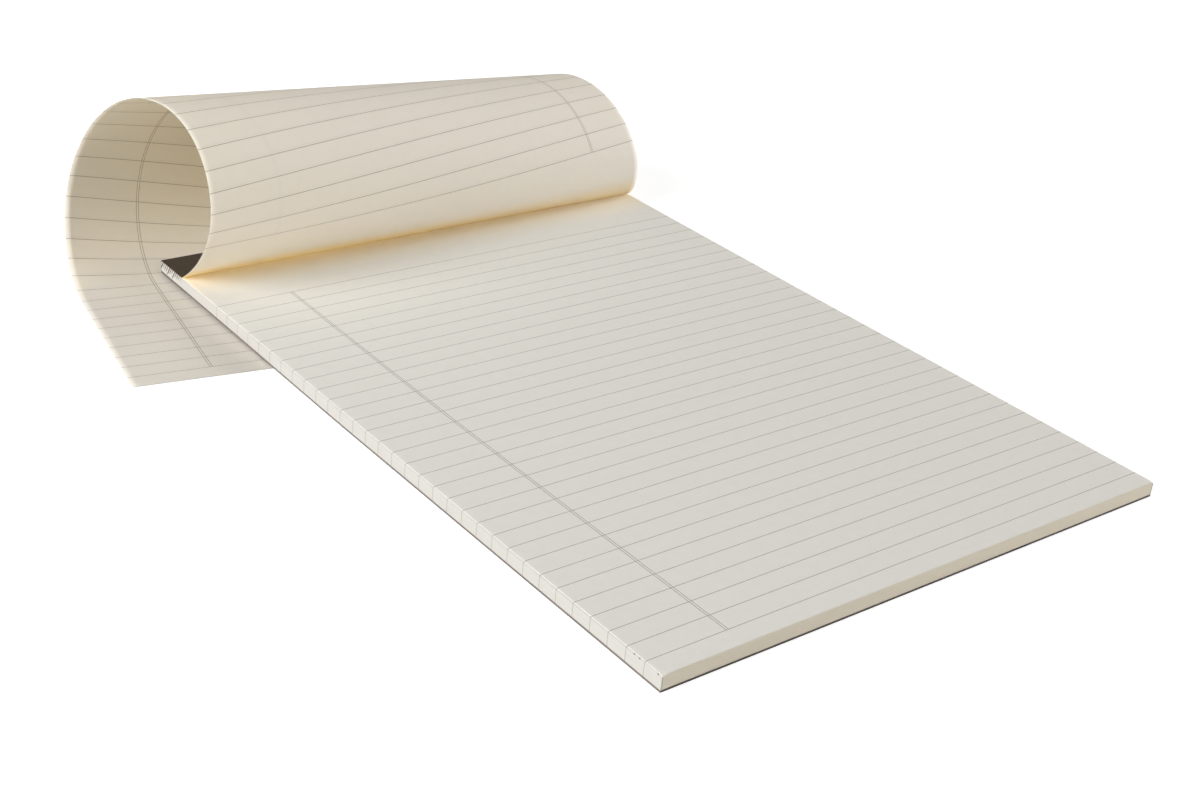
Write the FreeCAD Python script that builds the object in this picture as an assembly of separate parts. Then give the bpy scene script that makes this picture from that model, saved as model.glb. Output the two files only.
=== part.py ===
import FreeCAD, Part
import math
import os

# A glued and stitched pad of ruled writing sheets, lying on a table.
# X runs across the page to its right, Y runs up the page to the bound end and
# Z is up. The origin is the middle of the backing board's underside.
# The top sheet is turned up and over the bound end and lies under the pad.

# Sheet and pad, in millimetres
page_width = 210.0
page_length = 297.0
pad_thickness = 5.48
board_thickness = 0.75
sheet_thickness = 0.10

# The bound end stands a little off the table, because the turned sheet lies under it
level_length = 150.0
bend_length = 30.0
head_rise = 1.60
head_pad_thickness = 4.55

# Binding tape, folded round the bound end
tape_thickness = 0.18
front_flap = 17.0
back_flap = 20.0
fold_clearance = 0.05

# Wire stitches under the tape
stitch_names = ("wire_stitch_left", "wire_stitch_right")
stitch_spread = 110.0
stitch_from_head = 6.0
stitch_crown = 13.0
wire_diameter = 0.50
wire_clearance = 0.04
clinch_length = 4.5

# Roll of the turned sheet: it leaves the fold at this angle above the page, and
# each stretch has a length and a bending radius along the sheet's left edge.
# Each stretch is part of a cone, whose point lies on the line across the sheet.
# Its distance from the left edge is given in page widths: above 0 the point is
# to the right and the roll gets tighter that way, below 0 it is to the left.
fold_angle = 32.8
roll_lengths = (12.0, 18.0, 30.0, 30.0, 30.0, 30.0)
roll_radii = (67.8, 57.2, 30.9, 27.9, 38.5, 43.0)
cone_reaches = (1.145, 1.144, 2.56, -2.27, 7.22, 1.455)
rail_step = 2.5

half_width = page_width / 2
foot_y = -page_length / 2
head_y = page_length / 2
level_end_y = foot_y + level_length
tape_edge_y = head_y - front_flap
fold_y = tape_edge_y - fold_clearance
half_sheet = sheet_thickness / 2


# Heights of the pad's layers

def bent_height(level_height, head_height, y):
    """Height of a layer that is level at the foot, bends gently and then climbs straight."""
    climb = head_height - level_height
    run = page_length - level_length - bend_length / 2
    slope = climb / run
    along = y - level_end_y
    if along <= 0:
        return level_height
    if along < bend_length:
        return level_height + slope * along * along / (2 * bend_length)
    return level_height + slope * (along - bend_length / 2)


def underside(y):
    return bent_height(0.0, head_rise, y)


def board_top(y):
    return bent_height(board_thickness, head_rise + board_thickness, y)


def block_top(y):
    return bent_height(pad_thickness, head_rise + head_pad_thickness, y)


def stub_top(y):
    return block_top(y) + sheet_thickness


# Solids with one outline all the way across the page

def layer_line(height, start_y, end_y):
    """Edges along one layer from the foot side to the head side."""
    bend_end_y = level_end_y + bend_length
    stops = [start_y]
    stops += [y for y in (level_end_y, bend_end_y) if start_y < y < end_y]
    stops.append(end_y)
    edges = []
    for near, far in zip(stops, stops[1:]):
        first = FreeCAD.Vector(-half_width, near, height(near))
        last = FreeCAD.Vector(-half_width, far, height(far))
        middle_y = (near + far) / 2
        middle = FreeCAD.Vector(-half_width, middle_y, height(middle_y))
        if level_end_y <= near and far <= bend_end_y:
            edges.append(Part.Arc(first, middle, last).toShape())
        else:
            edges.append(Part.makeLine(first, last))
    return edges


def across_page(lower, upper, start_y, end_y):
    """Solid between two layers, as wide as the page."""
    bottom = layer_line(lower, start_y, end_y)
    top = layer_line(upper, start_y, end_y)
    foot_end = Part.makeLine(
        FreeCAD.Vector(-half_width, start_y, lower(start_y)),
        FreeCAD.Vector(-half_width, start_y, upper(start_y)))
    head_end = Part.makeLine(
        FreeCAD.Vector(-half_width, end_y, lower(end_y)),
        FreeCAD.Vector(-half_width, end_y, upper(end_y)))
    outline = Part.Wire(Part.__sortEdges__(bottom + top + [foot_end, head_end]))
    return Part.Face(outline).extrude(FreeCAD.Vector(page_width, 0, 0))


# Wire stitches and the room they take

def stitch_centres():
    return (-stitch_spread / 2, stitch_spread / 2)


def stitch_y():
    return head_y - stitch_from_head


def crown_z():
    return stub_top(stitch_y() - wire_diameter / 2) - wire_diameter / 2 - wire_clearance


def clinch_z():
    return underside(stitch_y() + wire_diameter / 2) + wire_diameter / 2 + wire_clearance


def stitch_shape(centre_x, radius):
    """Round wire: crown on top, two legs down, ends turned inward under the board."""
    y = stitch_y()
    reach = stitch_crown / 2
    corners = [
        (centre_x - reach + clinch_length, clinch_z()),
        (centre_x - reach, clinch_z()),
        (centre_x - reach, crown_z()),
        (centre_x + reach, crown_z()),
        (centre_x + reach, clinch_z()),
        (centre_x + reach - clinch_length, clinch_z()),
    ]
    points = [FreeCAD.Vector(x, y, z) for x, z in corners]
    pieces = []
    for start, end in zip(points, points[1:]):
        way = end - start
        pieces.append(Part.makeCylinder(radius, way.Length, start, way))
    for point in points:
        pieces.append(Part.makeSphere(radius, point))
    return pieces[0].fuse(pieces[1:]).removeSplitter()


def crown_room(centre_x):
    """Slot for the crown, open at the top."""
    half_room = wire_diameter / 2 + wire_clearance
    length = stitch_crown + 2 * half_room
    slot = Part.makeBox(length, 2 * half_room, pad_thickness)
    slot.translate(FreeCAD.Vector(
        centre_x - length / 2, stitch_y() - half_room, crown_z() - half_room))
    return slot


def leg_room(centre_x, side):
    """Hole for one leg, and a slot for its turned end that is open at the bottom."""
    y = stitch_y()
    half_room = wire_diameter / 2 + wire_clearance
    leg_x = centre_x + side * stitch_crown / 2
    hole = Part.makeCylinder(
        half_room, crown_z() - clinch_z(), FreeCAD.Vector(leg_x, y, clinch_z()))
    end_length = clinch_length + 2 * half_room
    slot = Part.makeBox(end_length, 2 * half_room, pad_thickness)
    slot_x = leg_x - half_room if side < 0 else leg_x + half_room - end_length
    slot.translate(FreeCAD.Vector(
        slot_x, y - half_room, clinch_z() + half_room - pad_thickness))
    return [hole, slot]


# Binding tape

def binding_tape():
    """Tape over the stub, round the bound end and back under the board."""
    def tape_top(y):
        return stub_top(y) + tape_thickness

    def tape_bottom(y):
        return underside(y) - tape_thickness

    front = across_page(stub_top, tape_top, tape_edge_y, head_y)
    back = across_page(tape_bottom, underside, head_y - back_flap, head_y)
    end_height = stub_top(head_y) - underside(head_y)
    end = Part.makeBox(page_width, tape_thickness, end_height)
    end.translate(FreeCAD.Vector(-half_width, head_y, underside(head_y)))
    across = FreeCAD.Vector(1, 0, 0)
    upper_bend = Part.makeCylinder(
        tape_thickness, page_width,
        FreeCAD.Vector(-half_width, head_y, stub_top(head_y)), across)
    lower_bend = Part.makeCylinder(
        tape_thickness, page_width,
        FreeCAD.Vector(-half_width, head_y, underside(head_y)), across)
    wrap = front.fuse([back, end, upper_bend, lower_bend])
    inside = across_page(underside, stub_top, head_y - front_flap - back_flap, head_y)
    return wrap.cut(inside).removeSplitter()


# Roll of the turned sheet

def turned(frame, bend, angle):
    """Carry the three directions along one cone by this much of the flat sheet's angle."""
    along, forward, inward = frame
    axis = (along * bend + inward).normalize()
    degrees = math.degrees(angle * math.hypot(bend, 1))
    rotation = FreeCAD.Rotation(axis, degrees)
    return tuple(rotation.multVec(v) for v in (along, forward, inward))


def roll_pieces():
    """Cones of the roll in order: angles, bend, directions, and point in space and on the sheet."""
    fold_height = block_top(fold_y) + half_sheet
    rise = math.radians(fold_angle)
    along = FreeCAD.Vector(-1, 0, 0)
    forward = FreeCAD.Vector(0, -math.cos(rise), math.sin(rise))
    frame = (along, forward, along.cross(forward))
    edge = FreeCAD.Vector(-half_width, fold_y, fold_height)
    length = 0.0
    angle = 0.0
    pieces = []

    def add_cone(reach, bend, sweep=None, stretch=None):
        nonlocal frame, edge, length, angle
        point = edge - frame[0] * reach
        across = reach * math.cos(angle)
        down = length - reach * math.sin(angle)
        if sweep is None:
            sweep = math.atan((length + stretch - down) / across) - angle
        pieces.append((angle, angle + sweep, bend, frame, point, across, down))
        frame = turned(frame, bend, sweep)
        angle += sweep
        length = down + across * math.tan(angle)
        edge = point + frame[0] * math.copysign(math.hypot(across, length - down), across)

    for stretch, radius, reach in zip(roll_lengths, roll_radii, cone_reaches):
        reach = reach * page_width
        add_cone(reach, reach / radius, stretch=stretch)

    # The last cone has its point on the table and rolls down until it touches it
    height = edge.z - half_sheet
    reach = height / frame[0].z
    bend = (1 - frame[2].z) / frame[0].z
    opening = math.atan2(1, bend)
    axis = frame[0] * math.cos(opening) + frame[2] * math.sin(opening)
    touch = FreeCAD.Vector(axis.x, axis.y, 0).normalize()
    start = (frame[0] - axis * axis.dot(frame[0])).normalize()
    side = axis.cross(start)
    swing = math.atan2(touch.dot(side), touch.dot(start)) % (2 * math.pi)
    add_cone(reach, bend, sweep=swing * math.sin(opening))

    # From there the sheet lies flat
    point, across, down = pieces[-1][4:]
    pieces.append((angle, math.pi / 2, 0.0, frame, point, across, down))
    return pieces


def sheet_point(piece, x_on_sheet, length, offset):
    """Point of the sheet, this far from its left edge and from the fold, moved off its middle."""
    start, _, bend, frame, point, across, down = piece
    side = math.copysign(1, across)
    sideways = (across - x_on_sheet) * side
    onward = (length - down) * side
    angle = math.atan2(onward, sideways)
    along, _, inward = turned(frame, bend, angle - start)
    return point + along * side * math.hypot(sideways, onward) + inward * offset


def ruling_lengths(piece, angle):
    """Distance from the fold at the left and right edge, on the line at this angle."""
    across, down = piece[5], piece[6]
    left = down + across * math.tan(angle)
    right = down + (across - page_width) * math.tan(angle)
    return left, right


def rail(pieces, x_on_sheet, offset):
    """Smooth curve along one edge of the sheet, through every line of the roll."""
    points = []
    stations = []
    for number, piece in enumerate(pieces[:-1]):
        start, end = piece[0], piece[1]
        left_start = ruling_lengths(piece, start)[0]
        left_end = ruling_lengths(piece, end)[0]
        steps = max(2, math.ceil((left_end - left_start) / rail_step))
        for step in range(0 if number == 0 else 1, steps + 1):
            angle = start + (end - start) * step / steps
            left, right = ruling_lengths(piece, angle)
            length = right if x_on_sheet else left
            points.append(sheet_point(piece, x_on_sheet, length, offset))
            stations.append(left)
    # The fold is mitred, so that the stub and the roll meet in one line
    edge_x = points[0].x
    half_fold = math.radians(fold_angle) / 2
    lean = offset * math.tan(half_fold)
    points[0] = FreeCAD.Vector(edge_x, fold_y + lean, block_top(fold_y) + half_sheet + offset)
    curve = Part.BSplineCurve()
    curve.interpolate(Points=points, Parameters=stations)
    return curve.toShape()


def closed_solid(faces):
    shell = Part.Shell(faces)
    shell.sewShape()
    solid = Part.Solid(shell)
    if solid.Volume < 0:
        solid.reverse()
    return solid


def flat_face(points):
    return Part.Face(Part.makePolygon(points + points[:1]))


def turned_sheet():
    """One sheet: stub under the tape, fold, roll, and the end lying flat on the table."""
    pieces = roll_pieces()
    rails = {}
    for side, x_on_sheet in (("left", 0.0), ("right", page_width)):
        for face, offset in (("front", half_sheet), ("back", -half_sheet)):
            rails[side, face] = rail(pieces, x_on_sheet, offset)
    keys = [("left", "front"), ("left", "back"), ("right", "back"), ("right", "front")]
    starts = [rails[key].valueAt(rails[key].FirstParameter) for key in keys]
    ends = [rails[key].valueAt(rails[key].LastParameter) for key in keys]
    faces = []
    for first, second in zip(keys, keys[1:] + keys[:1]):
        faces.append(Part.makeRuledSurface(rails[first], rails[second]))

    # Stub under the tape
    def at_head(point):
        height = stub_top(head_y) if point.z > block_top(fold_y) + half_sheet else block_top(head_y)
        return FreeCAD.Vector(point.x, head_y, height)

    heads = [at_head(point) for point in starts]
    for i in range(4):
        j = (i + 1) % 4
        faces.append(flat_face([starts[i], starts[j], heads[j], heads[i]]))
    faces.append(flat_face(heads))

    # End that lies on the table
    last = pieces[-1]
    sheet_length = page_length - front_flap
    feet = []
    for side, face in keys:
        x_on_sheet = 0.0 if side == "left" else page_width
        offset = half_sheet if face == "front" else -half_sheet
        feet.append(sheet_point(last, x_on_sheet, sheet_length, offset))
    for i in range(4):
        j = (i + 1) % 4
        faces.append(flat_face([ends[i], ends[j], feet[j], feet[i]]))
    faces.append(flat_face(feet))
    return closed_solid(faces)


# Every piece is written as its own file

def export(name, shape):
    shape.exportStep(os.path.join("parts", name + ".step"))
    print(name, "volume", round(shape.Volume, 2), "valid", shape.isValid())


def build():
    os.makedirs("parts", exist_ok=True)
    crown_rooms = [crown_room(x) for x in stitch_centres()]
    leg_rooms = [room for x in stitch_centres() for side in (-1, 1) for room in leg_room(x, side)]
    board = across_page(underside, board_top, foot_y, head_y).cut(leg_rooms)
    block = across_page(board_top, block_top, foot_y, head_y).cut(crown_rooms + leg_rooms)
    sheet = turned_sheet().cut(crown_rooms)
    export("backing_board", board)
    export("page_block", block)
    export("turned_sheet", sheet)
    export("binding_tape", binding_tape())
    for name, centre_x in zip(stitch_names, stitch_centres()):
        export(name, stitch_shape(centre_x, wire_diameter / 2))


build()
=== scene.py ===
# %% [markdown]
# # A ruled writing pad with its top sheet turned over
# The pad is a stack of ruled sheets on a stiff board, bound across the head with
# dark tape. The top sheet is turned up and back over the head: it rolls over and
# its end lies flat on the table, partly under the pad.
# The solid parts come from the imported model, which is loaded first. Paper needs
# a finer mesh than the solids have, because its look is in its curl and its edges.

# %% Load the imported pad
import math

import bmesh
import bpy
from mathutils import Euler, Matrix, Quaternion, Vector, noise


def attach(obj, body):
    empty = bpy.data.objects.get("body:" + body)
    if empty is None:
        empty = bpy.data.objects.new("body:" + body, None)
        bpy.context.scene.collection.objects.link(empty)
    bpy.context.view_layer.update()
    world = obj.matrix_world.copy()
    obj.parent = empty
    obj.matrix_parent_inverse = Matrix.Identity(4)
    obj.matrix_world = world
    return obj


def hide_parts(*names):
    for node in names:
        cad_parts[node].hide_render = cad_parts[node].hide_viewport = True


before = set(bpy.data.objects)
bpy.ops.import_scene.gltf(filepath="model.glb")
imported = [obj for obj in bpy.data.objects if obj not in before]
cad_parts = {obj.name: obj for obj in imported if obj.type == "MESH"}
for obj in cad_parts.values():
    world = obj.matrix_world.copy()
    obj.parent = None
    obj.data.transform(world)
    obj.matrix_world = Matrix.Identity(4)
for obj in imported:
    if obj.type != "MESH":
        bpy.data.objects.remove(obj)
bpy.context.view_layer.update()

MM = 0.001

# %% [markdown]
# ## Sizes of the pad and its ruling
# These are the sizes that the solid parts were made with. The ruling is printed on
# both sides of every sheet: 32 thin grey rules from edge to edge, and a double
# margin line that runs from the first rule to the last. On the top page the margin
# leans and bows by nearly two millimetres in all, as print on a trimmed sheet does.

# %% Sizes
PAGE_WIDTH = 210.0
PAGE_LENGTH = 297.0
PAD_THICKNESS = 5.48
HEAD_PAD_THICKNESS = 4.55
BOARD_THICKNESS = 0.75
SHEET_THICKNESS = 0.10
HEAD_RISE = 1.60
LEVEL_LENGTH = 150.0
BEND_LENGTH = 30.0
FLAP = 17.0
FOLD_CLEARANCE = 0.05

LEFT = -PAGE_WIDTH / 2
FOOT = -PAGE_LENGTH / 2
HEAD = PAGE_LENGTH / 2
FOLD = HEAD - FLAP - FOLD_CLEARANCE

RULES = 32
RULE_PITCH = 7.9
LAST_RULE = 7.34
RULE_WIDTH = 0.22
MARGIN = 28.95
MARGIN_GAP = 0.85
MARGIN_LEAN = 0.0058
MARGIN_BOW = 0.000052

# %% [markdown]
# ## Shader maths
# A printed line is a little sum: how far is this point from the nearest rule, and
# is that less than half the line's width? Nodes can do such sums, but a drawing
# of thirty of them is hard to read. The class below wraps one output of a node, so
# that the sum can be written as a Python expression, and each operator adds its
# own Math node. Colours are mixed with Mix nodes, since a Math node would turn
# them grey.

# %% A value in a material
class Value:
    """One number that varies over a surface, as the output of a node."""

    def __init__(self, finish, socket):
        self.finish = finish
        self.socket = socket

    def math(self, operation, *others):
        settings = {"operation": operation}
        made = self.finish.node("ShaderNodeMath", settings, {0: self, **dict(enumerate(others, 1))})
        return Value(self.finish, made.outputs[0])

    def __add__(self, other):
        return self.math("ADD", other)

    def __sub__(self, other):
        return self.math("SUBTRACT", other)

    def __mul__(self, other):
        return self.math("MULTIPLY", other)

    def __truediv__(self, other):
        return self.math("DIVIDE", other)

    def __rsub__(self, other):
        return self.math("MULTIPLY_ADD", -1.0, other)

    def __gt__(self, other):
        return self.math("GREATER_THAN", other)

    def __lt__(self, other):
        return self.math("LESS_THAN", other)

    def __abs__(self):
        return self.math("ABSOLUTE")

    __radd__ = __add__
    __rmul__ = __mul__

    def nearest(self):
        return self.math("ROUND")

    def at_least(self, other):
        return self.math("MAXIMUM", other)


# %% A material that is built from expressions
class Finish:
    """A material, or a world, whose nodes are added one at a time."""

    def __init__(self, name, kind="materials"):
        self.owner = getattr(bpy.data, kind).new(name)
        self.owner.use_nodes = True
        self.tree = self.owner.node_tree
        self.tree.nodes.clear()

    def node(self, kind, settings=None, sockets=None):
        made = self.tree.nodes.new(kind)
        for name, value in (settings or {}).items():
            setattr(made, name, value)
        for name, value in (sockets or {}).items():
            socket = made.inputs[name]
            if isinstance(value, Value):
                value = value.socket
            if isinstance(value, bpy.types.NodeSocket):
                self.tree.links.new(value, socket)
            else:
                socket.default_value = value
        return made

    def place(self):
        """The three coordinates of a point of the object, in millimetres."""
        where = self.node("ShaderNodeTexCoord").outputs["Object"]
        parts = self.node("ShaderNodeSeparateXYZ", None, {0: where})
        return [Value(self, out) / MM for out in parts.outputs]

    def sheet_place(self):
        """Distance from the left edge and from the fold on the flat sheet, in millimetres."""
        where = self.node("ShaderNodeUVMap", {"uv_map": "flat_sheet"}).outputs[0]
        parts = self.node("ShaderNodeSeparateXYZ", None, {0: where})
        return [Value(self, out) / MM for out in parts.outputs][:2]

    def point(self, x=0.0, y=0.0, z=0.0):
        return self.node("ShaderNodeCombineXYZ", None, {0: x, 1: y, 2: z}).outputs[0]

    def noise(self, where, scale, detail=2.0, roughness=0.5):
        made = self.node(
            "ShaderNodeTexNoise", None,
            {"Vector": where, "Scale": scale, "Detail": detail, "Roughness": roughness})
        return Value(self, made.outputs["Fac"])

    def ramp(self, value, low, high, start=0.0, end=1.0):
        made = self.node(
            "ShaderNodeMapRange", {"interpolation_type": "SMOOTHSTEP"},
            {"Value": value, "From Min": low, "From Max": high, "To Min": start, "To Max": end})
        return Value(self, made.outputs[0])

    def mix(self, amount, first, second):
        """A colour between two others."""
        made = self.node(
            "ShaderNodeMix", {"data_type": "RGBA"}, {0: amount, 6: first, 7: second})
        return made.outputs[2]

    def bump(self, height, distance):
        made = self.node(
            "ShaderNodeBump", None, {"Height": height, "Distance": distance, "Strength": 1.0})
        return made.outputs[0]

    def surface(self, **sockets):
        named = {name.replace("_", " "): value for name, value in sockets.items()}
        return self.node("ShaderNodeBsdfPrincipled", None, named).outputs[0]

    def show(self, shader):
        self.node("ShaderNodeOutputMaterial", None, {"Surface": shader})
        print("finish", self.owner.name, "has", len(self.tree.nodes), "nodes")
        return self.owner


# %% [markdown]
# ## The printed ruling
# The same pattern is printed on the page, on the turned sheet's front and on its
# back, so it is one function of two distances. It gives 1 on ink and 0 on bare
# paper. Print on real paper is never quite even, so the ink is made a little
# thinner and thicker along the line by a noise.

# %% Ink of the ruling
SOFT_EDGE = 0.03
PRESS_SCALE = 900.0
THINNEST_INK = 0.78


def line(finish, distance, width):
    """1 within half the width of a line and 0 outside it, with a soft edge."""
    half = width / 2
    return finish.ramp(abs(distance), half - SOFT_EDGE, half + SOFT_EDGE, 1.0, 0.0)


def ruling(finish, from_margin_side, from_last_rule):
    """Ink of the rules and of the double margin, by distances in millimetres."""
    row = from_last_rule / RULE_PITCH
    to_rule = (row - row.nearest()) * RULE_PITCH
    on_page = (row > -0.5) * (row < RULES - 0.5)
    rules = line(finish, to_rule, RULE_WIDTH) * on_page
    to_margin = abs(from_margin_side - MARGIN) - MARGIN_GAP / 2
    in_length = (row > 0.0) * (row < RULES - 1.0)
    margin = line(finish, to_margin, RULE_WIDTH) * in_length
    return rules.at_least(margin)


def printed(finish, ink, where):
    """The ink laid on by an uneven press."""
    return ink * finish.ramp(finish.noise(where, PRESS_SCALE), 0.25, 0.7, THINNEST_INK, 1.0)


# %% [markdown]
# ## Paper
# Uncoated writing paper is cream, matt and a little mottled. A single sheet lets
# some light through, so the inside of the roll glows: its finish is a matt surface
# mixed with a translucent one. In the corner of the fold most of the light has
# come through the sheet and is warm. So the share that passes grows towards the
# fold, and both papers are given a painted warm glow in their colour within two
# centimetres of it: a brighter, warmer tint that stands for that light.

# %% Paper finishes
PAGE = (0.830, 0.808, 0.745, 1.0)
PAGE_DARKER = (0.815, 0.792, 0.728, 1.0)
SHEET = (0.975, 0.960, 0.927, 1.0)
SHEET_DARKER = (0.96, 0.944, 0.91, 1.0)
INK = (0.26, 0.255, 0.24, 1.0)
INK_ON_SHEET = (0.24, 0.23, 0.21, 1.0)
GHOST = (0.90, 0.885, 0.85, 1.0)
# Painted warm glow near the fold, brighter and warmer than the paper
PAGE_FOLD_GLOW_PAINT = (1.0, 0.90, 0.73, 1.0)
SHEET_FOLD_GLOW_PAINT = (1.0, 0.91, 0.74, 1.0)
PAGE_GLOW_LENGTH = 22.0
SHEET_GLOW_LENGTH = 14.0
PASSING = (1.0, 0.85, 0.46, 1.0)
PASSING_SHARE = 0.30
MORE_AT_FOLD = 0.25
CLOUD_SCALE = 260.0
FIBRE_SCALE = 2600.0
FIBRE_HEIGHT = 0.03 * MM


def mottled(finish, where, light, dark):
    cloud = finish.ramp(finish.noise(where, CLOUD_SCALE, 4.0), 0.3, 0.7)
    return finish.mix(cloud, light, dark)


def paper_surface(finish, colour, where, share=None):
    """Matt paper, through which a share of the light passes if one is given."""
    fibres = finish.noise(where, FIBRE_SCALE, 3.0, 0.6)
    matt = finish.surface(
        Base_Color=colour, Roughness=0.85, Specular_IOR_Level=0.22,
        Normal=finish.bump(fibres, FIBRE_HEIGHT))
    if share is None:
        return finish.show(matt)
    passing = finish.node("ShaderNodeBsdfTranslucent", None, {"Color": PASSING}).outputs[0]
    both = finish.node("ShaderNodeMixShader", None, {0: share, 1: matt, 2: passing})
    return finish.show(both.outputs[0])


def page_paper():
    """Top page of the block, with its ruling."""
    finish = Finish("ruled_page")
    x, y, z = finish.place()
    where = finish.point(x * MM, y * MM)
    bow = (y * MARGIN_BOW + MARGIN_LEAN) * y
    ink = ruling(finish, x - LEFT - bow, y - (FOOT + LAST_RULE))
    # Painted warm glow: the page's colour turns brighter and warmer towards the fold
    near_fold = finish.ramp(FOLD - y, PAGE_GLOW_LENGTH, 0.0)
    paper = finish.mix(near_fold, mottled(finish, where, PAGE, PAGE_DARKER), PAGE_FOLD_GLOW_PAINT)
    colour = finish.mix(printed(finish, ink, where), paper, INK)
    return paper_surface(finish, colour, where)


def turned_paper(name, from_margin_side, last_rule, ghost_side, ghost_last_rule):
    """One side of the turned sheet. The ruling of the other side shows through faintly."""
    finish = Finish(name)
    x, length = finish.sheet_place()
    where = finish.point(x * MM, length * MM)
    ink = ruling(finish, from_margin_side(x), last_rule - length)
    ghost = ruling(finish, ghost_side(x), ghost_last_rule - length)
    near_fold = finish.ramp(length, SHEET_GLOW_LENGTH, 0.0)
    # Painted warm glow: the sheet's colour turns brighter and warmer towards the fold
    paper = finish.mix(near_fold, mottled(finish, where, SHEET, SHEET_DARKER), SHEET_FOLD_GLOW_PAINT)
    paper = finish.mix(ghost, paper, GHOST)
    colour = finish.mix(printed(finish, ink, where), paper, INK_ON_SHEET)
    return paper_surface(finish, colour, where, near_fold * MORE_AT_FOLD + PASSING_SHARE)


# %% Both sides of the turned sheet
SHEET_LENGTH = PAGE_LENGTH - FLAP
FRONT_SHIFT = 0.2
BACK_SHIFT = -0.6
FRONT_LAST_RULE = SHEET_LENGTH - LAST_RULE + FRONT_SHIFT
BACK_LAST_RULE = SHEET_LENGTH - LAST_RULE + BACK_SHIFT
FRONT_MARGIN = 28.8
BACK_MARGIN = 25.7


def from_left(x):
    return x + (MARGIN - FRONT_MARGIN)


def from_right(x):
    return PAGE_WIDTH - x + (MARGIN - BACK_MARGIN)


page_finish = page_paper()
front_finish = turned_paper(
    "turned_sheet_front", from_left, FRONT_LAST_RULE, from_right, BACK_LAST_RULE)
back_finish = turned_paper(
    "turned_sheet_back", from_right, BACK_LAST_RULE, from_left, FRONT_LAST_RULE)

# %% [markdown]
# ## Cut edges of the stack
# On the real pad the cut edges are streaked along the sheets, and marked with an
# upright tick wherever the rules of all the sheets run off the edge. The sides are
# greyer than the foot, which is given a warm tint: painted warm light that stands
# for light bounced between the sheets in its rough cut. Near the head there are a
# few slanting dark strokes, and near the foot corner there are three small nicks.

# %% Edge finish
EDGE = (0.56, 0.545, 0.51, 1.0)
EDGE_DARKER = (0.525, 0.508, 0.47, 1.0)
FOOT_EDGE_WARM_PAINT = (0.80, 0.73, 0.60, 1.0)
TICK = (0.30, 0.285, 0.26, 1.0)
STROKE = (0.10, 0.085, 0.08, 1.0)
STROKE_STEP = 1.4
STROKE_LEAN = 0.7
STROKES_END = 18.0
STROKES_FADE = 4.0
STROKE_WIDTH = 0.72
STROKE_SHIFT = 0.9
TICK_WIDTH = 0.28
TICK_SHIFT = 0.25
TICK_STRENGTH = 0.75
STREAK_HEIGHT = 0.06 * MM
NICK = (0.20, 0.18, 0.16, 1.0)
NICK_LENGTH = 0.55
NICK_HEIGHT = 0.45
NICKS = ((-146.8, 4.9), (-136.7, 5.1), (-139.0, 5.1))


def edge_ticks(finish, x, y, z):
    """The printed rules as they end at the sides, a little out of line from sheet to sheet."""
    shift = (finish.noise(finish.point(0.0, y * 0.01, z * 4.0), 1.0, 1.0) - 0.5) * TICK_SHIFT
    row = (y + shift - (FOOT + LAST_RULE)) / RULE_PITCH
    to_rule = (row - row.nearest()) * RULE_PITCH
    on_page = (row > -0.5) * (row < RULES - 0.5)
    on_side = abs(x) > -LEFT - 1.0
    return line(finish, to_rule, TICK_WIDTH) * on_page * on_side


# Dark slanting strokes on the cut edges near the head
def slanting_strokes(finish, y, z):
    """Slanting strokes near the head, each with its own place, length and strength."""
    slanted = (HEAD - y) - z * STROKE_LEAN
    number = (slanted / STROKE_STEP).nearest()
    chance = finish.noise(finish.point(number * 3.7, 5.0), 1.0, 0.0)
    to_stroke = slanted - number * STROKE_STEP + (chance - 0.5) * STROKE_SHIFT
    lowest = finish.ramp(chance, 0.35, 0.65, 2.9, 4.4)
    reach_down = finish.ramp(z - lowest, -0.7, 0.7)
    near_head = finish.ramp(HEAD - y, STROKES_END, STROKES_END - STROKES_FADE)
    strokes = line(finish, to_stroke, STROKE_WIDTH) * reach_down * near_head
    return strokes * finish.ramp(chance, 0.3, 0.6, 1.0, 0.7)


def edge_paper():
    finish = Finish("sheet_edges")
    x, y, z = finish.place()
    along = finish.point(x * 0.02, y * 0.02, z * 9.0)
    streaks = finish.noise(along, 1.0, 3.0, 0.6)
    colour = finish.mix(finish.ramp(streaks, 0.3, 0.7), EDGE, EDGE_DARKER)
    # The foot's painted warm light stops short of the corners, where the sides begin
    off_sides = finish.ramp(abs(x), -LEFT - 0.35, -LEFT - 0.7)
    on_foot = finish.ramp(y, FOOT + 0.9, FOOT + 0.5) * off_sides
    colour = finish.mix(on_foot, colour, FOOT_EDGE_WARM_PAINT)
    colour = finish.mix(edge_ticks(finish, x, y, z) * TICK_STRENGTH, colour, TICK)
    colour = finish.mix(slanting_strokes(finish, y, z), colour, STROKE)
    for nick_y, nick_z in NICKS:
        from_nick = abs(y - nick_y) / NICK_LENGTH + abs(z - nick_z) / NICK_HEIGHT
        dark = finish.ramp(from_nick, 0.4, 1.0, 1.0, 0.0) * (x < 0.0)
        colour = finish.mix(dark, colour, NICK)
    surface = finish.surface(
        Base_Color=colour, Roughness=0.9, Specular_IOR_Level=0.15,
        Normal=finish.bump(streaks, STREAK_HEIGHT))
    return finish.show(surface)


edge_finish = edge_paper()

# %% [markdown]
# ## Board, tape and stitches
# The board is pressed grey-brown pulp, seen only as a thin dark line. A very dark
# patch on its foot edge is painted shade, where the edge looks chipped. Its sides
# are paler than the foot. The tape is thin dark paper cloth with a fine grain and
# a slight sheen. The wire stitches are under the tape.

# %% Board finish
PULP = (0.060, 0.046, 0.040, 1.0)
PULP_PALER = (0.10, 0.080, 0.070, 1.0)
PULP_SCALE = 420.0
PULP_HEIGHT = 0.12 * MM
BOARD_SIDE = (0.17, 0.145, 0.13, 1.0)
# Painted shade of a small chip in the board's foot edge
CHIP_SHADE_PAINT = (0.02, 0.016, 0.014, 1.0)
CHIP_PLACE = 40.0
CHIP_HALF_LENGTH = 3.6
CHIP_DEPTH = 1.2


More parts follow.
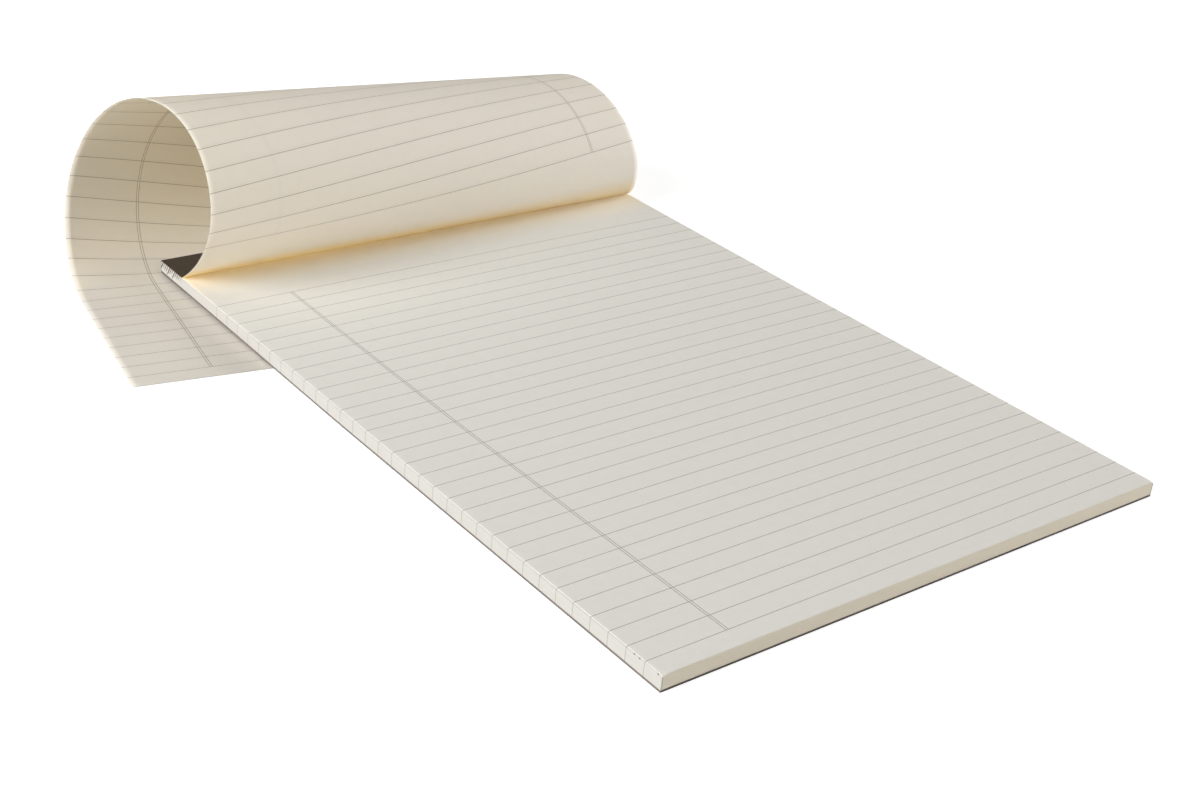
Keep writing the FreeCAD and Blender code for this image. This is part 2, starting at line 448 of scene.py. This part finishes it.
def board_finish():
    finish = Finish("pressed_board")
    x, y, z = finish.place()
    where = finish.point(x * MM, y * MM, z * MM)
    pulp = finish.noise(where, PULP_SCALE, 5.0, 0.65)
    layers = finish.noise(finish.point(x * 0.05, y * 0.05, z * 7.0), 1.0, 2.0)
    patches = finish.ramp(pulp * 0.7 + layers * 0.3, 0.38, 0.62)
    colour = finish.mix(patches, PULP, PULP_PALER)
    # The board's sides are given a paler colour than its foot
    on_side = finish.ramp(abs(x), -LEFT - 0.5, -LEFT - 0.2)
    colour = finish.mix(on_side, colour, BOARD_SIDE)
    # Painted shade where the foot edge looks chipped: a very dark patch
    from_chip = abs(x - CHIP_PLACE) / CHIP_HALF_LENGTH + abs(y - FOOT) / CHIP_DEPTH
    colour = finish.mix(finish.ramp(from_chip, 0.5, 1.0, 1.0, 0.0), colour, CHIP_SHADE_PAINT)
    return finish.show(finish.surface(
        Base_Color=colour, Roughness=0.82, Specular_IOR_Level=0.3,
        Normal=finish.bump(pulp, PULP_HEIGHT)))


# %% Tape finish
TAPE = (0.030, 0.020, 0.015, 1.0)
TAPE_PALER = (0.042, 0.029, 0.022, 1.0)
PATCH_SCALE = 140.0
GRAIN_SCALE = 1400.0
GRAIN_HEIGHT = 0.04 * MM


def tape_finish():
    finish = Finish("grained_tape")
    x, y, z = finish.place()
    where = finish.point(x * MM, y * MM, z * MM)
    cells = finish.node(
        "ShaderNodeTexVoronoi", {"feature": "DISTANCE_TO_EDGE"},
        {"Vector": where, "Scale": GRAIN_SCALE}).outputs["Distance"]
    grain = finish.ramp(Value(finish, cells), 0.0, 0.25)
    cloud = finish.noise(where, PATCH_SCALE, 3.0)
    colour = finish.mix(finish.ramp(cloud, 0.35, 0.65), TAPE, TAPE_PALER)
    return finish.show(finish.surface(
        Base_Color=colour, Roughness=finish.ramp(cloud, 0.3, 0.7, 0.46, 0.58),
        Specular_IOR_Level=0.4, Normal=finish.bump(grain, GRAIN_HEIGHT)))


# %% Wire finish
WIRE = (0.55, 0.55, 0.57, 1.0)
WIRE_PALER = (0.72, 0.72, 0.73, 1.0)


def wire_finish():
    finish = Finish("stitch_wire")
    x, y, z = finish.place()
    drawn = finish.noise(finish.point(x * 0.2, y * 6.0, z * 6.0), 1.0, 2.0)
    colour = finish.mix(drawn, WIRE, WIRE_PALER)
    return finish.show(finish.surface(
        Base_Color=colour, Metallic=1.0, Roughness=finish.ramp(drawn, 0.2, 0.8, 0.25, 0.42)))


# %% Put the finishes on the solid parts
NODE_FINISHES = {
    "backing_board": board_finish(),
    "binding_tape": tape_finish(),
    "wire_stitch_left": wire_finish(),
    "wire_stitch_right": wire_finish(),
}
for node_name, finish_material in NODE_FINISHES.items():
    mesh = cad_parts[node_name].data
    mesh.materials.clear()
    mesh.materials.append(finish_material)

# %% [markdown]
# ## How the pad lies
# The turned sheet's end lies under the pad, so the bound end stands a little off
# the table. Every layer is level near the foot, bends gently and then climbs
# straight to the head. The stack and the turned sheet both need these heights.

# %% Heights of the layers
def bent_height(level_height, head_height, y):
    climb = head_height - level_height
    slope = climb / (PAGE_LENGTH - LEVEL_LENGTH - BEND_LENGTH / 2)
    along = y - (FOOT + LEVEL_LENGTH)
    if along <= 0:
        return level_height
    if along < BEND_LENGTH:
        return level_height + slope * along * along / (2 * BEND_LENGTH)
    return level_height + slope * (along - BEND_LENGTH / 2)


def board_top(y):
    return bent_height(BOARD_THICKNESS, HEAD_RISE + BOARD_THICKNESS, y)


def block_top(y):
    return bent_height(PAD_THICKNESS, HEAD_RISE + HEAD_PAD_THICKNESS, y)


print("page height at the foot and the head:", block_top(FOOT), round(block_top(HEAD), 2), "mm")


# %% A piece from points
def new_piece(name, points, faces, finish_of_face, materials):
    """An object from points in millimetres, with a number of a finish for each face."""
    mesh = bpy.data.meshes.new(name)
    mesh.from_pydata([Vector(p) * MM for p in points], [], faces)
    for material in materials:
        mesh.materials.append(material)
    mesh.polygons.foreach_set("material_index", finish_of_face)
    piece = bpy.data.objects.new(name, mesh)
    bpy.context.scene.collection.objects.link(piece)
    return piece


# %% [markdown]
# ## The stack of sheets
# A block with flat sides looks like a slab of plastic. A real stack has sides made
# of the cut edges of some fifty sheets, each a few hundredths of a millimetre in
# or out of line with its neighbours, and its top edges are a little rounded by
# handling. The mesh is built that way: one ring of points for the lower and one
# for the upper face of every sheet, and a grid for the page on top. Its lines lie
# close together near the edges, where the page bends down, and far apart inside.

# %% Grid of the page
SHEETS = 47
GRID_STEP = 5.0
EDGE_STEPS = (0.0, 0.6, 1.2, 2.0, 3.2, 5.0)
SAME_PLACE = 0.0002


def grid_lines(length):
    """Places of the grid lines from one edge of the page to the other."""
    inner = length - 2 * EDGE_STEPS[-1]
    count = round(inner / GRID_STEP)
    middle = [EDGE_STEPS[-1] + inner * k / count for k in range(1, count)]
    return list(EDGE_STEPS) + middle + [length - step for step in reversed(EDGE_STEPS)]


COLUMN_PLACES = grid_lines(PAGE_WIDTH)
ROW_PLACES = grid_lines(PAGE_LENGTH)
COLUMNS = len(COLUMN_PLACES) - 1
ROWS = len(ROW_PLACES) - 1


def outline_steps():
    """Grid places round the page, from the left foot corner and back to it."""
    steps = [(i, 0) for i in range(COLUMNS)]
    steps += [(COLUMNS, j) for j in range(ROWS)]
    steps += [(i, ROWS) for i in range(COLUMNS, 0, -1)]
    steps += [(0, j) for j in range(ROWS, 0, -1)]
    return steps


def grid_xy(i, j):
    return LEFT + COLUMN_PLACES[i], FOOT + ROW_PLACES[j]


print("page grid has", COLUMNS, "by", ROWS, "faces")


# %% Wear of the stack
EDGE_DROOP = 0.16
EDGE_REACH = 1.5
CORNER_WEAR = {(LEFT, FOOT): (0.62, 3.4), (-LEFT, FOOT): (0.34, 2.4)}
HELD_LENGTH = 6.0
EDGE_SEEDS = {"left": 3.0, "right": 17.0, "foot": 31.0}
MEAN_INSET = 0.035
SHEET_INSET = 0.035
GROUP_INSET = 0.05
WORN_INSET = 0.16
WORN_SHEETS = 5.0


def droop(x, y):
    """How far handling has pressed the page down near its free edges and corners."""
    from_edge = min(x - LEFT, -LEFT - x, y - FOOT)
    depth = EDGE_DROOP * max(0.0, 1 - from_edge / EDGE_REACH) ** 2
    for corner, (deepest, reach) in CORNER_WEAR.items():
        near = max(0.0, 1 - math.dist((x, y), corner) / reach)
        depth += deepest * near * near
    return depth * min(1.0, max(0.0, (FOLD - y) / HELD_LENGTH))


def stack_height(x, y, share):
    """Height of a face inside the stack. The share runs from 0 on the board to 1 on the page."""
    low, high = board_top(y), block_top(y)
    return low + (high - low) * share - droop(x, y) * share ** 3


def edge_inset(side, sheet, along):
    """How far this sheet's edge stands back from the straight cut."""
    seed = EDGE_SEEDS[side]
    own = noise.noise(Vector((seed, sheet * 1.7, along * 0.008)))
    group = noise.noise(Vector((seed + 5.0, sheet * 0.21, along * 0.012)))
    worn = max(0.0, 1.0 - (SHEETS - 1 - sheet) / WORN_SHEETS)
    inset = max(0.0, MEAN_INSET + SHEET_INSET * own + GROUP_INSET * group)
    return inset + WORN_INSET * worn * worn


def ring(sheet, share):
    """Points round one face of a sheet. The share is its height in the stack, from 0 to 1."""
    points = []
    for i, j in outline_steps():
        x, y = grid_xy(i, j)
        if i == 0:
            x += edge_inset("left", sheet, y)
        if i == COLUMNS:
            x -= edge_inset("right", sheet, y)
        if j == 0:
            y += edge_inset("foot", sheet, x)
        points.append((x, y, stack_height(x, y, share)))
    return points


print("left foot corner is pressed down by", round(droop(LEFT, FOOT), 2), "mm")


# %% Mesh of the stack
def stack_mesh():
    points = []
    faces = []
    finishes = []
    around = len(outline_steps())
    for sheet in range(SHEETS):
        points += ring(sheet, sheet / SHEETS)
        points += ring(sheet, (sheet + 1) / SHEETS)
    for level in range(2 * SHEETS - 1):
        for k in range(around):
            a = level * around + k
            b = level * around + (k + 1) % around
            faces.append((a, b, b + around, a + around))
            finishes.append(1)
    for top in (False, True):
        first_ring = (2 * SHEETS - 1) * around if top else 0
        places = {step: first_ring + k for k, step in enumerate(outline_steps())}
        for i in range(1, COLUMNS):
            for j in range(1, ROWS):
                x, y = grid_xy(i, j)
                places[i, j] = len(points)
                points.append((x, y, stack_height(x, y, 1.0 if top else 0.0)))
        for i in range(COLUMNS):
            for j in range(ROWS):
                face = (places[i, j], places[i + 1, j], places[i + 1, j + 1], places[i, j + 1])
                faces.append(face if top else face[::-1])
                finishes.append(0)
    piece = new_piece("page_stack", points, faces, finishes, [page_finish, edge_finish])
    # Sheets that end in line share their points there, so no face is left without area
    shape = bmesh.new()
    shape.from_mesh(piece.data)
    bmesh.ops.remove_doubles(shape, verts=shape.verts[:], dist=SAME_PLACE * MM)
    shape.to_mesh(piece.data)
    shape.free()
    return piece


page_stack = stack_mesh()
for face in page_stack.data.polygons:
    face.use_smooth = face.material_index == 0
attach(page_stack, "root")
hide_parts("page_block")
print("stack has", len(page_stack.data.polygons), "faces")

# %% [markdown]
# ## The turned sheet
# Paper bends but doesn't stretch, so a curled sheet is made of straight lines that
# run across it: at every place it is part of a cone. The roll is a chain of such
# cones, each given by the distance to its point, in page widths from the sheet's
# left edge, and by its bending radius there. Below 0 the point is to the left.
# Every point of the mesh is found from its place on the flat sheet, which is kept
# as the mesh's UV map, so the ruling stays true on the curl.

# %% Cones of the roll
FOLD_ANGLE = 32.8
ROLL_LENGTHS = (12.0, 18.0, 30.0, 30.0, 30.0, 30.0)
ROLL_RADII = (67.8, 57.2, 30.9, 27.9, 38.5, 43.0)
CONE_REACHES = (1.145, 1.144, 2.56, -2.27, 7.22, 1.455)
HALF_SHEET = SHEET_THICKNESS / 2


def turned(directions, bend, angle):
    """The three directions along one cone, carried on by this much of the flat sheet's angle."""
    along, forward, inward = directions
    axis = (along * bend + inward).normalized()
    rotation = Quaternion(axis, angle * math.hypot(bend, 1))
    return tuple(rotation @ direction for direction in directions)


def roll_cones():
    """Each cone: start and end angle, bend, directions, its point, and that point on the sheet."""
    rise = math.radians(FOLD_ANGLE)
    along = Vector((-1.0, 0.0, 0.0))
    forward = Vector((0.0, -math.cos(rise), math.sin(rise)))
    directions = (along, forward, along.cross(forward))
    edge = Vector((LEFT, FOLD, block_top(FOLD) + HALF_SHEET))
    length = 0.0
    angle = 0.0
    cones = []

    def add_cone(reach, bend, sweep=None, stretch=0.0):
        nonlocal directions, edge, length, angle
        point = edge - directions[0] * reach
        across = reach * math.cos(angle)
        down = length - reach * math.sin(angle)
        if sweep is None:
            sweep = math.atan((length + stretch - down) / across) - angle
        cones.append((angle, angle + sweep, bend, directions, point, across, down))
        directions = turned(directions, bend, sweep)
        angle += sweep
        length = down + across * math.tan(angle)
        edge = point + directions[0] * math.copysign(math.hypot(across, length - down), across)

    for stretch, radius, reach in zip(ROLL_LENGTHS, ROLL_RADII, CONE_REACHES):
        add_cone(reach * PAGE_WIDTH, reach * PAGE_WIDTH / radius, stretch=stretch)

    # The last cone has its point on the table and rolls down until it touches it
    along, _, inward = directions
    reach = (edge.z - HALF_SHEET) / along.z
    bend = (1 - inward.z) / along.z
    opening = math.atan2(1, bend)
    axis = along * math.cos(opening) + inward * math.sin(opening)
    touch = Vector((axis.x, axis.y, 0.0)).normalized()
    start = (along - axis * axis.dot(along)).normalized()
    swing = math.atan2(touch.dot(axis.cross(start)), touch.dot(start)) % (2 * math.pi)
    add_cone(reach, bend, sweep=swing * math.sin(opening))
    point, across, down = cones[-1][4:]
    cones.append((angle, math.pi / 2, 0.0, directions, point, across, down))
    return cones


# %% Points of the sheet
def sheet_point(cone, x, length, offset):
    """A point by its place on the flat sheet, moved off the sheet's middle."""
    start, _, bend, directions, point, across, down = cone
    side = math.copysign(1, across)
    sideways = (across - x) * side
    onward = (length - down) * side
    along, _, inward = turned(directions, bend, math.atan2(onward, sideways) - start)
    return point + along * side * math.hypot(sideways, onward) + inward * offset


SHEET_COLUMNS = 84
ROW_STEP = 1.4
FLAT_STEPS = 40


def sheet_rows():
    """Rows of the mesh as (cone, lengths at each column), from the fold to the foot."""
    cones = roll_cones()
    columns = [PAGE_WIDTH * i / SHEET_COLUMNS for i in range(SHEET_COLUMNS + 1)]
    rows = []
    for number, cone in enumerate(cones[:-1]):
        start, end, _, _, _, across, down = cone
        stretch = across * (math.tan(end) - math.tan(start))
        steps = max(2, math.ceil(stretch / ROW_STEP))
        for step in range(0 if number == 0 else 1, steps + 1):
            slope = math.tan(start + (end - start) * step / steps)
            rows.append((cone, [down + (across - x) * slope for x in columns]))
    flat = cones[-1]
    last = rows[-1][1]
    for step in range(1, FLAT_STEPS + 1):
        share = step / FLAT_STEPS
        rows.append((flat, [length + (SHEET_LENGTH - length) * share for length in last]))
    print("the roll has", len(cones) - 1, "cones and", len(rows), "rows of points")
    return columns, rows


# %% Mesh of the sheet
def sheet_face_points(columns, rows, offset):
    """Points of one side of the sheet, row by row from the head of the stub."""
    side = 1 if offset > 0 else -1
    lean = offset * math.tan(math.radians(FOLD_ANGLE) / 2)
    stub = []
    for y in (HEAD, FOLD + lean):
        height = block_top(HEAD if y == HEAD else FOLD) + HALF_SHEET + offset
        stub.append([Vector((LEFT + x, y, height)) for x in columns])
    curl = []
    for cone, lengths in rows[1:]:
        curl.append([sheet_point(cone, x, length, offset) for x, length in zip(columns, lengths)])
    return stub + curl


def sheet_mesh():
    columns, rows = sheet_rows()
    flat_lengths = [[-FLAP] * len(columns), [0.0] * len(columns)]
    flat_lengths += [lengths for _, lengths in rows[1:]]
    points = []
    for offset in (HALF_SHEET, -HALF_SHEET):
        for row in sheet_face_points(columns, rows, offset):
            points += row
    wide = len(columns)
    tall = len(flat_lengths)
    back = wide * tall
    faces = []
    finishes = []
    for j in range(tall - 1):
        for i in range(wide - 1):
            a = j * wide + i
            face = (a, a + wide, a + wide + 1, a + 1)
            faces += [face, tuple(k + back for k in face[::-1])]
            finishes += [0, 1]
    rim = [(0, i) for i in range(wide)]
    rim += [(j, wide - 1) for j in range(1, tall)]
    rim += [(tall - 1, i) for i in range(wide - 2, -1, -1)]
    rim += [(j, 0) for j in range(tall - 2, 0, -1)]
    for (j, i), (n, m) in zip(rim, rim[1:] + rim[:1]):
        a, b = j * wide + i, n * wide + m
        faces.append((a, b, b + back, a + back))
        finishes.append(2)
    materials = [front_finish, back_finish, edge_finish]
    piece = new_piece("turned_sheet_paper", points, faces, finishes, materials)
    places = [(x, length) for lengths in flat_lengths for x, length in zip(columns, lengths)]
    uv = piece.data.uv_layers.new(name="flat_sheet")
    for loop in piece.data.loops:
        x, length = places[loop.vertex_index % back]
        uv.data[loop.index].uv = (x * MM, length * MM)
    for face in piece.data.polygons:
        face.use_smooth = face.material_index < 2
    return piece


turned_sheet = sheet_mesh()
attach(turned_sheet, "root")
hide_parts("turned_sheet")
print("turned sheet has", len(turned_sheet.data.polygons), "faces")


# %% [markdown]
# ## Table and background
# The pad lies on a plain white surface. In a studio picture the table melts into
# a pure white background, and brighter lamps would spoil the paper's own colour.
# So the floor is a matt white that adds a little of its own light where the
# camera or a mirror sees it: bare floor reaches white and shadows stay. It lies a
# hair below the pad's underside, so that no two faces share a place.

# %% Floor
FLOOR_SIZE = 6.0
FLOOR_DROP = 0.02
FLOOR_WHITE = 0.90
FLOOR_GLOW = 0.62


def seen_directly(finish):
    """1 for what the camera sees, also in a mirror or through glass, and 0 for other light.

    Light that seeps through paper counts as transmitted too. It is scattered, so it is taken off.
    """
    rays = finish.node("ShaderNodeLightPath").outputs
    camera, mirror, through, scattered = [Value(finish, rays[name]) for name in (
        "Is Camera Ray", "Is Glossy Ray", "Is Transmission Ray", "Is Diffuse Ray")]
    return camera.at_least(mirror).at_least(through - scattered)


def floor_finish():
    finish = Finish("white_table")
    white = (FLOOR_WHITE, FLOOR_WHITE, FLOOR_WHITE, 1.0)
    matt = finish.node("ShaderNodeBsdfDiffuse", None, {"Color": white}).outputs[0]
    glow = finish.node("ShaderNodeEmission", None, {"Strength": FLOOR_GLOW}).outputs[0]
    lit = finish.node("ShaderNodeAddShader", None, {0: matt, 1: glow}).outputs[0]
    seen = seen_directly(finish)
    both = finish.node("ShaderNodeMixShader", None, {0: seen, 1: matt, 2: lit})
    return finish.show(both.outputs[0])


half_floor = FLOOR_SIZE / MM / 2
floor_points = [(x * half_floor, y * half_floor, -FLOOR_DROP)
                for x, y in ((-1, -1), (1, -1), (1, 1), (-1, 1))]
floor = new_piece("table", floor_points, [(0, 1, 2, 3)], [0], [floor_finish()])

# %% [markdown]
# ## Light
# The photo has the soft light of a white tent with its lamps at the left: the cut
# edges there are brightest and the foot is the darkest side. Low lamps on the right
# stand for the white boards that throw light back into the roll from that side.
# Strengths were fitted to the photo's colours, each lamp rendered alone. Each lamp
# is given by its place and size in metres and its power in watts.

# %% Lamps and sky
SKY_LEVEL = 0.04
LAMPS = {
    "left_lamp": ((-1.7, 0.1, 1.0), 1.2, 27.5),
    "left_low_lamp": ((-1.8, 0.1, 0.4), 1.0, 21.5),
    "right_low_lamp": ((1.9, 0.15, 0.35), 0.8, 24.0),
    "front_low_lamp": ((1.35, -1.35, 0.35), 0.8, 18.5),
    "top_lamp": ((0.0, 0.1, 1.9), 1.6, 4.0),
}


def add_lamp(name, place, size, power):
    lamp = bpy.data.lights.new(name, "AREA")
    lamp.shape = "SQUARE"
    lamp.size = size
    lamp.energy = power
    holder = bpy.data.objects.new(name, lamp)
    holder.location = place
    holder.rotation_euler = (-Vector(place)).to_track_quat("-Z", "Y").to_euler()
    bpy.context.scene.collection.objects.link(holder)


for lamp_name, (lamp_place, lamp_size, lamp_power) in LAMPS.items():
    add_lamp(lamp_name, lamp_place, lamp_size, lamp_power)
print("lamps:", ", ".join(LAMPS))


def sky():
    tent = Finish("white_tent", "worlds")
    level = seen_directly(tent) * (1.0 - SKY_LEVEL) + SKY_LEVEL
    white = (1.0, 1.0, 1.0, 1.0)
    light = tent.node("ShaderNodeBackground", None, {"Color": white, "Strength": level})
    tent.node("ShaderNodeOutputWorld", None, {"Surface": light.outputs[0]})
    bpy.context.scene.world = tent.owner


sky()

# %% [markdown]
# ## Camera
# The camera was found from the ruling: 32 evenly spaced rules and the page's edges
# in the photo leave only one place and one lens from which they look like that.

# %% Camera
PHOTO_WIDTH = 1200
FOCAL_IN_PIXELS = 1779.7
SENSOR = 36.0
CAMERA_PLACE = (-0.36913, -0.42320, 0.27987)
CAMERA_TURN = (62.6275, -5.3546, -37.5469)

camera_data = bpy.data.cameras.new("camera")
camera_data.sensor_width = SENSOR
camera_data.lens = FOCAL_IN_PIXELS * SENSOR / PHOTO_WIDTH
camera_data.clip_start = 0.01
camera = bpy.data.objects.new("camera", camera_data)
camera.location = CAMERA_PLACE
camera.rotation_euler = Euler([math.radians(turn) for turn in CAMERA_TURN])
bpy.context.scene.collection.objects.link(camera)
bpy.context.scene.camera = camera
bpy.context.scene.view_settings.view_transform = "Standard"
print("lens", round(camera_data.lens, 2), "mm")
